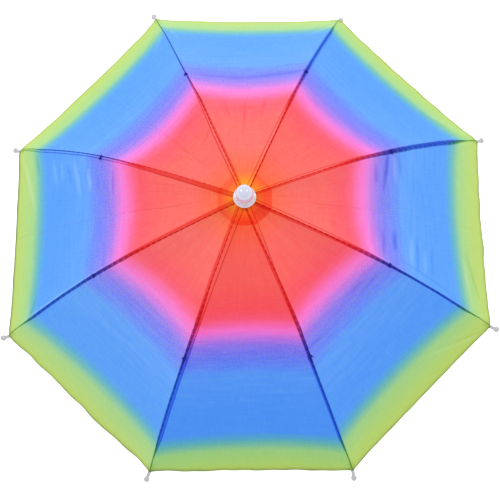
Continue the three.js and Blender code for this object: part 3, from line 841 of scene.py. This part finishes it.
def makePatch():
    radii = np.linspace(canopy["hole"], patch["radius"], patch["rows"])[:, None]
    across = np.linspace(-1, 1, patch["columns"] + 1)[None, :-1]
    sectors = [turned(coverPoint(radii, across, patch["depth"]), 2 * halfGore * k)
               for k in range(canopy["gores"])]
    points = settled(np.concatenate(sectors, axis=1))
    share = np.broadcast_to(radii / canopy["radius"], points.shape[:2])
    fields = {key: 0 * share for key in ("across", "fold", "paintedCrease", "patched", "hem")}
    fields.update({key + side: 0 * share + 5  # far from any seam
                   for key in ("line", "band", "edge") for side in ("Ahead", "Behind")})
    fields.update({"stripe": share, "out": share, "deep": 0 * share + 1.25})
    faces = [gridFaces(*points.shape[:2], True)]
    piece = meshPiece("patch_under_top", points, faces, coverCloth, fields, points[..., :2])
    thicken(piece, patch["wall"])
    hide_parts("centre_patch")


makePatch()
print("patch made")

# White plastic: cap and rib tips, and the frame. Their colours hold painted light: the cap's blue is a
# painted reflection of cool light and its pink low colour painted bounce light from the cloth, and the
# tips' grey is painted shade.
plastics = {
    "cap": {"colour": (210, 215, 240), "low": (222, 213, 222), "roughness": 0.14, "coat": 0.7},
    "tip": {"colour": (200, 200, 203), "low": (190, 190, 194), "roughness": 0.30, "coat": 0.1},
    "frame": {"colour": (226, 227, 232), "low": (214, 215, 220), "roughness": 0.38, "coat": 0.1},
}


def plasticMaterial(name):
    row = plastics[name]
    sheet = NodeSheet(f"white_plastic_{name}")
    cloud = sheet.noise(sheet.place(), 90.0, 4.0)
    height = sheet.node("ShaderNodeSeparateXYZ", {}, {0: sheet.place()}, output="Z")
    # below the cover's top each plastic takes its low colour: painted pink bounce light on the cap, painted
    # shade on the tips, a little darker on the frame
    below = sheet.between(height, -1, coverTop + 0.005, 0.002)
    colour, low = (*linear(*row["colour"]), 1), (*linear(*row["low"]), 1)
    rough = sheet.noise(sheet.place(), 400.0, 2.0) * 0.06 + (row["roughness"] - 0.03)
    normal = sheet.bump(sheet.noise(sheet.place(), 700.0, 2.0), 0.00004, 0.2)
    tint = sheet.mixColour(cloud * 0.2 + below * 0.8, colour, low)
    return sheet.finish({"Base Color": tint, "Roughness": rough, "Normal": normal, "IOR": 1.49,
                         "Coat Weight": row["coat"], "Coat Roughness": 0.09, "Coat IOR": 1.9})


topCap = {
    "flange": 0.0108,
    "flangeHeight": 0.0022,
    "knob": 0.0086,
    "knobTop": 0.0080,
    "height": 0.020,
    "dome": 0.9,  # height of the dome, as a share of its radius
    "socket": 0.0040,  # the hollow under it, over the post
    "socketDepth": 0.0030,
    "fillet": 0.0009,  # between flange and knob
    "sides": 96,
}


def makeCap():
    low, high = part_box("top_cap")
    rim, under = high.z - topCap["height"], low.z
    flange, thick, knob, top = (topCap[key] for key in ("flange", "flangeHeight", "knob", "knobTop"))
    socket, fillet = topCap["socket"], topCap["fillet"]
    inside = under + topCap["socketDepth"]
    domeStart = high.z - topCap["dome"] * top
    profile = [[0, inside], [socket, inside], [socket + 0.0002, under + 0.0004], [flange - 0.0006, rim]]
    profile += arcPoints((flange - thick / 2, rim + thick / 2), thick / 2, -80, 80, 9)
    profile += arcPoints((knob + fillet, rim + thick + fillet), fillet, 270, 180, 5)
    profile += [[knob, rim + thick + 0.003], [top + 0.0002, domeStart - 0.001]]
    dome = np.radians(np.linspace(4, 86, 16))
    profile += np.stack([top * np.cos(dome), domeStart + topCap["dome"] * top * np.sin(dome)], -1).tolist()
    points, faces = turnedShape(profile + [[0, high.z]], topCap["sides"])
    cap = meshPiece("cap_knob", points, faces, plasticMaterial("cap"))
    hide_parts("top_cap")


makeCap()
print("cap made")


# A point on the cloth beside the seam over a rib: on the gore behind it where `beside` is below 0, and
# otherwise on the one ahead.
def seamPoint(rib, radii, beside, depth):
    reach = beside / (radii * math.sin(halfGore))
    behind = turned(goreSurface(rib, radii, 1 + np.minimum(reach, 0), depth), 2 * halfGore * rib)
    ahead = goreSurface((rib + 1) % canopy["gores"], radii, -1 + np.maximum(reach, 0), depth)
    ahead = turned(ahead, 2 * halfGore * (rib + 1))
    return settled(np.where((beside < 0)[..., None], behind, ahead))


# Threads from starts to ends: rings of radius sqrt(1 - x^2) along x from -1 to 1, sunk a little at
# the ends, then placed by each thread's own axes.
def stitchRows(starts, ends, ups, thread):
    middle, along = (starts + ends) / 2, (ends - starts) / 2
    side = np.cross(ups, along)
    side /= np.linalg.norm(side, axis=1, keepdims=True)
    up = np.cross(along, side)
    up /= np.linalg.norm(up, axis=1, keepdims=True)
    x = np.array([-0.98, -0.7, 0.0, 0.7, 0.98])[:, None]
    swell = 0.9 * np.sqrt(1 - x ** 2) + 0.1
    turn = np.linspace(0, 2 * np.pi, stitching["sides"], endpoint=False)[None, :]
    rings = np.stack([x + 0 * turn, swell * np.cos(turn), swell * np.sin(turn) - 0.4 * x ** 2], -1)
    shape, faces = closedRings(rings, [-1, 0, -0.4], [1, 0, -0.4])
    points = (middle[:, None] + shape[None, :, :1] * along[:, None]
              + thread * (shape[None, :, 1:2] * side[:, None] + shape[None, :, 2:] * up[:, None]))
    starts = np.arange(len(middle))[:, None, None] * len(shape)
    return points.reshape(-1, 3), [(f[None] + starts).reshape(-1, f.shape[1]) for f in faces], len(shape)


# Seam thread has the print's own colour, made much deeper as painted shade of the stitches sunk in the cloth.
def threadMaterial():
    sheet = NodeSheet("seam_thread")
    fuzz = sheet.noise(sheet.place(), 1800.0, 2.0)
    stripe = sheet.attribute("stripe")
    violet, outer = sheet.between(stripe, 0.46, 0.67, 0.04), sheet.between(stripe, 0.67, 2.0, 0.04)
    # about half as light as the deepened print, as painted shade of the sunk stitches
    level = 0.50 - violet * 0.12 + outer * 0.08
    colour = sheet.scaledColour(sheet.deepened(printedColour(sheet), 2.0, 1.0), level)
    return sheet.finish({"Base Color": colour, "Roughness": 0.8, "Normal": sheet.bump(fuzz, 0.00003, 0.4),
                         "Specular IOR Level": 0.1})


def hemThreadMaterial():
    sheet = NodeSheet("hem_thread")
    fuzz = sheet.noise(sheet.place(), 1800.0, 2.0)
    colour = sheet.mixColour(fuzz, (*linear(150, 190, 84), 1), (*linear(176, 208, 108), 1))
    return sheet.finish({"Base Color": colour, "Roughness": 0.8, "Specular IOR Level": 0.1})


threadLook, hemThreadLook = threadMaterial(), hemThreadMaterial()


# Stitches along a seam, half sunk in the cloth, each a little longer or further aside than the next.
def makeSeamStitches(k, draw):
    centres = np.arange(stitching["start"], canopy["radius"] - 0.004, stitching["pitch"])
    share = centres / canopy["radius"]
    half = stitching["length"] / 2 * draw.uniform(0.85, 1.1, len(centres))
    drift = np.interp(share, cover["seamShares"], cover["seams"][k]["drift"])
    beside = drift / 1000 + draw.uniform(-0.00015, 0.00015, len(centres))
    starts, ends = (seamPoint(k, centres + step, beside, cover["depth"] - 0.00008)
                    for step in (-half, half))
    slope = np.arctan(fallAt(centres))
    ups = np.stack([np.sin(slope), 0 * slope, np.cos(slope)], -1)
    ups = turned(ups, halfGore * (2 * k + 1))
    points, faces, each = stitchRows(starts, ends, ups, stitching["thread"])
    stripe = np.repeat(share - cover["cuts"][k]["shift"], each)
    meshPiece(f"seam_stitches_{k + 1}", points, faces, threadLook, {"stripe": stripe},
              points[:, :2])


# Small stitches along a hem, across the gore.
def makeHemStitches(k):
    edge = canopy["radius"] - stitching["hemInset"]
    halfHem = edge * math.sin(halfGore)
    places = np.linspace(-0.96, 0.96, int(2 * halfHem / stitching["hemPitch"]))
    reach = 0.42 * stitching["hemPitch"] / halfHem
    starts, ends = (goreSurface(k, edge + 0 * places, places + step, cover["depth"] - 0.00002)
                    for step in (-reach, reach))
    starts, ends = (settled(turned(side, 2 * halfGore * k)) for side in (starts, ends))
    up = turned([math.sin(rimSlope), 0, math.cos(rimSlope)], 2 * halfGore * k)
    points, faces, each = stitchRows(starts, ends, up + 0 * starts, stitching["thread"] * 0.5)
    meshPiece(f"hem_stitches_{k + 1}", points, faces, hemThreadLook)


stitchDraw = np.random.default_rng(7)
for k in range(canopy["gores"]):
    makeSeamStitches(k, stitchDraw)
    makeHemStitches(k)
print("stitches made")

# Thread ties: turns round the rib over each stretcher's fork, through the cloth, with a knot and two
# loose ends. `shares` says how far out each sits, and `beside` how far aside its knot lies (mm).
tie = {
    "shares": (0.590, 0.605, 0.600, 0.590, 0.608, 0.594, 0.592, 0.565),
    "beside": (1.5, 0.5, -0.2, 2.6, 0.0, 1.5, -0.8, 0.3),
    "turns": 4,
    "thread": 0.00034,
    "wide": 0.0018,
    "high": 0.0028,
    "pitch": 0.0005,
    "knot": 0.0010,
    "knotOut": 0.0007,  # how far out of the coil's start it sits
    "knotReach": 0.0012,
    "ends": (0.0015, 0.0035),  # shortest and longest loose end
}


# The turns are a coil, x = pitch t / 2 pi, y = wide sin t, z = high cos t. The knot is a lump of radius
# sin t, and the ends lie on the cloth and droop a little.
def tieParts(k):
    draw = np.random.default_rng(70 + k)
    t = np.linspace(0, 2 * np.pi * tie["turns"], 26 * tie["turns"])
    coil = np.stack([tie["pitch"] * t / (2 * np.pi), tie["wide"] * np.sin(t), tie["high"] * np.cos(t)], -1)
    parts = [tube(coil, tie["thread"], 6)]
    s = np.linspace(0, 1, 12)
    for sign in (-1, 1):
        bend, length = draw.uniform(-0.9, 0.9), draw.uniform(*tie["ends"])
        x = tie["knotOut"] + length * s * math.sin(bend)
        y = sign * (0.0005 + length * s * math.cos(bend))
        z = tie["high"] + 0.0003 - 0.0006 * s + 0.0002 * np.sin(5 * s)
        parts.append(tube(np.stack([x, y, z], -1), tie["thread"] * 0.7, 6))
    t = np.linspace(0.25, np.pi - 0.25, 9)
    x = tie["knotOut"] - tie["knotReach"] * np.cos(t)
    knot = np.stack([x, tie["beside"][k] / 1000 + 0 * t, tie["high"] + 0.0002 + 0 * t], -1)
    return joinedParts(parts + [tube(knot, tie["knot"] * np.sin(t), 8)])


def makeTies():
    for k in range(canopy["gores"]):
        radius = tie["shares"][k] * canopy["radius"]
        points, faces = tieParts(k)
        onRib = underRib(np.array(radius), np.array(ribDepthBelowCover - 0.0003))
        placed = turned(points, math.atan(fallAt(radius)), "Y") + onRib
        placed = settled(turned(placed, halfGore * (2 * k + 1)))
        meshPiece(f"rib_tie_{k + 1}", placed, faces, threadLook,
                  {"stripe": np.full(len(points), 0.60)}, points[:, :2])


makeTies()
print("ties made")

# Rib tips: a ball on a hollow neck, slipped over the end of each rib. `lean` turns one sideways,
# `raise` turns it up and `reach` is how far its ball stands off the rib's end.
ribTip = {
    "ball": 0.0030,
    "neck": 0.0017,
    "neckStart": 0.0025,
    "mouth": 0.0018,
    "bore": 0.0014,
    "boreDepth": 0.0040,
    "mouthStart": 0.0006,
    "sides": 40,
    "each": tableRows(
        "lean raise reach",
        (6, 13, 0.0086),
        (0, -6, 0.0062),
        (8, 13, 0.0086),
        (-6, 14, 0.0088),
        (-16, 15, 0.0090),
        (-4, 18, 0.0096),
        (-14, 16, 0.0090),
        (6, 17, 0.0092),
    ),
}


def makeTips():
    material = plasticMaterial("tip")
    ribEnd = underRib(np.array(canopy["radius"]), np.array(ribDepthBelowCover))
    bore, mouth, start, neck, ball = (ribTip[key] for key in ("bore", "mouth", "mouthStart", "neck", "ball"))
    ballTurn = np.radians(np.linspace(-42, 86, 15))
    for k, row in enumerate(ribTip["each"]):
        profile = [[0, start + ribTip["boreDepth"]], [bore, start + ribTip["boreDepth"]], [bore, start]]
        profile += arcPoints(((bore + mouth) / 2, start), (mouth - bore) / 2, 180, 360, 7)
        profile += [[neck, ribTip["neckStart"]], [neck, row["reach"] - ball]]
        profile += np.stack([ball * np.cos(ballTurn), row["reach"] + ball * np.sin(ballTurn)], -1).tolist()
        points, faces = turnedShape(profile + [[0, row["reach"] + ball]], ribTip["sides"])
        leaning = turned(points, math.pi / 2 + rimSlope - math.radians(row["raise"]), "Y")
        leaning = turned(leaning, math.radians(row["lean"]), "Z")
        placed = settled(turned(leaning + ribEnd, halfGore * (2 * k + 1)))
        made = meshPiece(f"tip_ball_{k + 1}", placed, faces, material)
        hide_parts(f"rib_tip_{k + 1}")


makeTips()
print("rib tips made")

# Steel wire: ribs, stretchers and post
wire = {
    "ribRadius": 0.0012,
    "sides": 20,
    "rings": 110,
    "start": 0.008,  # where a rib begins inside the notch
    "socket": 0.0045,  # how far it reaches into its tip
    "patchDip": 0.0013,  # how much lower it runs under the patch
}


def steelMaterial():
    sheet = NodeSheet("plated_steel")
    cloud = sheet.noise(sheet.place(), 240.0, 4.0)
    tint = sheet.mixColour(cloud * 0.5, (0.62, 0.63, 0.65, 1), (0.42, 0.43, 0.45, 1))
    drawn = sheet.noise(sheet.stretched(sheet.place(), (40, 40, 900)), 1.0, 2.0)
    return sheet.finish({"Base Color": tint, "Roughness": cloud * 0.2 + 0.22, "Metallic": 1.0,
                         "Normal": sheet.bump(drawn, 0.00003, 0.3)})


steel = steelMaterial()


def ribDepth(radius):
    t = np.clip(radius / patch["radius"] - 1, 0, 1)
    return ribDepthBelowCover + wire["patchDip"] * (1 - t * t * (3 - 2 * t))


def makeRibs():
    radii = np.linspace(wire["start"], canopy["radius"], wire["rings"])
    path = underRib(radii, ribDepth(radii))
    beyond = np.array([math.cos(rimSlope), 0, -math.sin(rimSlope)])
    points, faces = tube([*path, path[-1] + beyond * wire["socket"]], wire["ribRadius"], wire["sides"])
    for k in range(canopy["gores"]):
        placed = settled(turned(points, halfGore * (2 * k + 1)))
        rib = meshPiece(f"rib_wire_{k + 1}", placed, faces, steel)
        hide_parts(f"rib_{k + 1}")


makeRibs()
print("ribs made")


# A copy of a solid whose loose triangles are merged, flats joined and edges rounded.
def softened(node, name, material, width):
    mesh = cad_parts[node].data.copy()
    mesh.name = name
    work = bmesh.new()
    work.from_mesh(mesh)
    bmesh.ops.remove_doubles(work, verts=work.verts, dist=1e-6)
    bmesh.ops.dissolve_limit(work, angle_limit=math.radians(1), verts=work.verts, edges=work.edges)
    work.to_mesh(mesh)
    work.free()
    mesh.materials.clear()
    mesh.materials.append(material)
    mesh.polygons.foreach_set("use_smooth", [True] * len(mesh.polygons))
    piece = bpy.data.objects.new(name, mesh)
    bpy.context.scene.collection.objects.link(piece)
    bevel = piece.modifiers.new("round_edges", "BEVEL")
    bevel.width, bevel.segments = width, 2
    bevel.limit_method, bevel.angle_limit = "ANGLE", math.radians(48)
    bevel.harden_normals = True
    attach(piece, "root")
    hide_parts(node)


# How wide the edges of the frame's pieces are rounded
rounding = {"stretcher": 0.00018, "hanger": 0.0005, "disc": 0.0004, "post": 0.0004}
softPlastic = plasticMaterial("frame")
for k in range(1, canopy["gores"] + 1):
    softened(f"stretcher_{k}", f"stretcher_wire_{k}", steel, rounding["stretcher"])
    softened(f"band_hanger_{k}", f"hanger_bar_{k}", softPlastic, rounding["hanger"])
for disc in ("notch", "runner"):
    softened(disc, f"{disc}_disc", softPlastic, rounding["disc"])
softened("post", "post_rod", steel, rounding["post"])
print("frame pieces softened")

# Headband: knitted elastic, a loop with fine ribs and rolled edges
headband = {"wall": 0.0016, "around": 360, "bulge": 0.0001}


def bandMaterial():
    sheet = NodeSheet("knitted_elastic")
    wale = sheet.node("ShaderNodeTexWave", {"bands_direction": "Y"},
                      {"Vector": sheet.uv(), "Scale": 180.0, "Distortion": 0.5})
    course = sheet.node("ShaderNodeTexWave", {"bands_direction": "X"},
                        {"Vector": sheet.uv(), "Scale": 260.0, "Distortion": 1.2})
    fuzz = sheet.noise(sheet.uv(), 900.0, 3.0)
    tint = sheet.mixColour(wale * 0.6 + fuzz * 0.3, (*linear(206, 206, 205), 1), (*linear(240, 240, 238), 1))
    normal = sheet.bump(wale * 0.7 + course * 0.3, 0.0003, 0.8)
    return sheet.finish({"Base Color": tint, "Roughness": 0.9, "Normal": normal, "Sheen Weight": 0.2})


# The band's section runs up the outside, over the top, down the inside and under the bottom.
def makeBand():
    low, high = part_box("headband")
    middle, half = high.x - headband["wall"] / 2, headband["wall"] / 2 - headband["bulge"]
    lowRound, highRound = low.z + half, high.z - half
    rise = np.linspace(0, 1, 26)[1:-1]
    bulge = headband["bulge"] * np.sin(np.pi * rise) ** 2
    section = arcPoints((middle, highRound), half, 0, 180, 9)
    inside = np.stack([middle - half + bulge, highRound + (lowRound - highRound) * rise], -1)
    outside = np.stack([middle + half - bulge, lowRound + (highRound - lowRound) * rise], -1)
    section += inside.tolist()
    section += arcPoints((middle, lowRound), half, 180, 360, 9)
    section = np.array(section + outside.tolist())
    turn = np.linspace(0, 2 * np.pi, headband["around"], endpoint=False)[None, :]
    out, up = section[:, :1], section[:, 1:]
    grid = np.stack([out * np.cos(turn), out * np.sin(turn), up + 0 * turn], -1)
    rows, columns = grid.shape[:2]
    closed = gridFaces(rows + 1, columns, True) % (rows * columns)
    uv = np.stack([turn * middle + 0 * up, up + 0 * turn], -1)
    points = grid.reshape(-1, 3)
    band = meshPiece("elastic_band", points, outward(points, [closed]), bandMaterial(), uv=uv)
    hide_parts("headband")


makeBand()
print("headband made")
